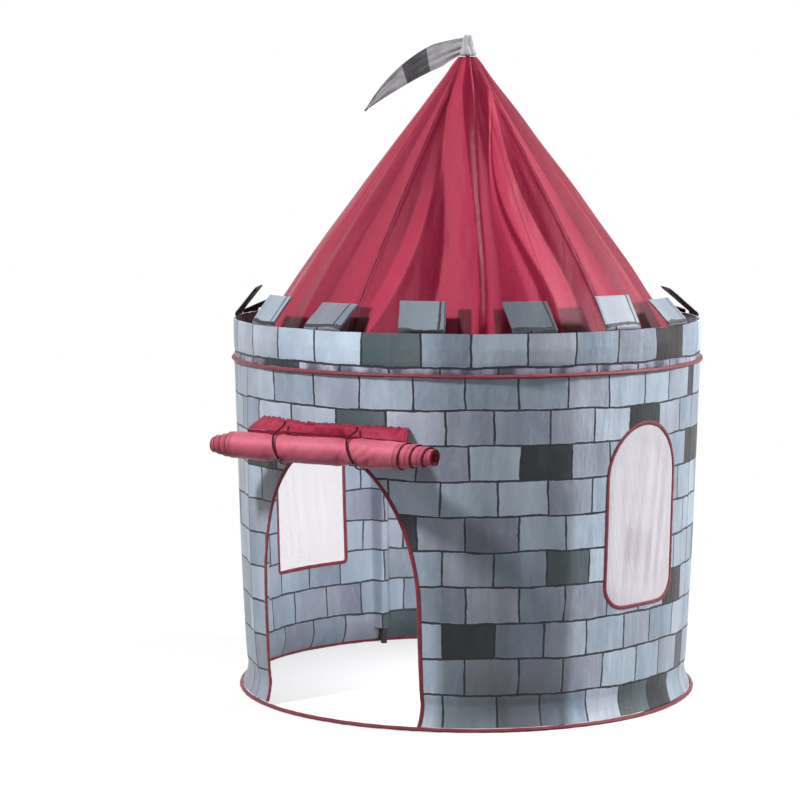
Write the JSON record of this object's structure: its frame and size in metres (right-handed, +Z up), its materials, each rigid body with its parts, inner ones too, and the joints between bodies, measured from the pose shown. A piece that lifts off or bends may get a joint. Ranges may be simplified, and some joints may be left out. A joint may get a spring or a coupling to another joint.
{
  "type": "play tent",
  "caption": "Child's pop-up play tent shaped as a castle tower: brick-print cloth wall, cone roof, battlements, pennant, arched door with a rolled curtain and net windows.",
  "frame": {"origin": "on the floor under the middle of the whole; the tent's upright axis stands 32.1 mm behind it, towards +Y, because the rolled door curtain stands out in front", "axes": "+Z up, the door towards -Y, +X to the right of someone who looks at the door"},
  "size_m": [1.0104, 1.0747, 1.398],
  "materials": {
    "brick_cloth": "shiny polyester with a printed brick pattern",
    "roof_cloth": "shiny raspberry taffeta",
    "piping_tape": "woven tape",
    "net": "fine open net",
    "elastic": "braided elastic cord",
    "flag_cloth": "thin polyester",
    "spring_steel": "drawn wire",
    "pole_plastic": "extruded tube",
    "moulded_plastic": "moulded"
  },
  "bodies": {
    "tent": {"wall_front": "brick_cloth", "wall_back": "brick_cloth", "wall_left": "brick_cloth", "battlement_band": "brick_cloth", "merlon_00": "brick_cloth", "merlon_01": "brick_cloth", "merlon_02": "brick_cloth", "merlon_03": "brick_cloth", "merlon_04": "brick_cloth", "merlon_05": "brick_cloth", "merlon_06": "brick_cloth", "merlon_07": "brick_cloth", "merlon_08": "brick_cloth", "merlon_09": "brick_cloth", "merlon_10": "brick_cloth", "merlon_11": "brick_cloth", "merlon_12": "brick_cloth", "merlon_13": "brick_cloth", "merlon_14": "brick_cloth", "roof_gore_1": "roof_cloth", "roof_gore_2": "roof_cloth", "roof_gore_3": "roof_cloth", "roof_gore_4": "roof_cloth", "roof_gore_5": "roof_cloth", "eaves_piping": "piping_tape", "base_piping": "piping_tape", "eaves_hoop": "spring_steel", "base_hoop": "spring_steel", "door_binding": "piping_tape", "window_binding_right": "piping_tape", "window_binding_left": "piping_tape", "window_net_right": "net", "window_net_left": "net", "wall_pole_lower_1": "pole_plastic", "wall_pole_lower_2": "pole_plastic", "wall_pole_lower_3": "pole_plastic", "wall_pole_lower_4": "pole_plastic", "wall_pole_upper_1": "pole_plastic", "wall_pole_upper_2": "pole_plastic", "wall_pole_upper_3": "pole_plastic", "wall_pole_upper_4": "pole_plastic", "roof_rod_1": "pole_plastic", "roof_rod_2": "pole_plastic", "roof_rod_3": "pole_plastic", "roof_rod_4": "pole_plastic", "eaves_elbow_1": "moulded_plastic", "eaves_elbow_2": "moulded_plastic", "eaves_elbow_3": "moulded_plastic", "eaves_elbow_4": "moulded_plastic", "pole_foot_1": "moulded_plastic", "pole_foot_2": "moulded_plastic", "pole_foot_3": "moulded_plastic", "pole_foot_4": "moulded_plastic", "apex_hub": "moulded_plastic"},
    "door_header": {"door_header": "roof_cloth", "door_curtain": "roof_cloth"},
    "door_roll": {"door_roll": "roof_cloth", "door_tie_1": "elastic", "door_tie_2": "elastic"},
    "flag": {"flag": "flag_cloth"}
  },
  "joints": [
    {"name": "door_lift", "type": "hinge", "parent": "tent", "child": "door_header", "pos_m": [0, -0.4679, 0.606], "axis": [-1, 0, 0], "range_deg": [0, 90]},
    {"name": "door_unroll", "type": "slide", "parent": "door_header", "child": "door_roll", "axis": [0, 0, -1], "range_m": [0, 0.5], "deforming": ["door_curtain"]},
    {"name": "flag_swivel", "type": "hinge", "parent": "tent", "child": "flag", "pos_m": [0, 0.0321, 1.36], "axis": [0, 0, 1], "continuous": true}
  ]
}
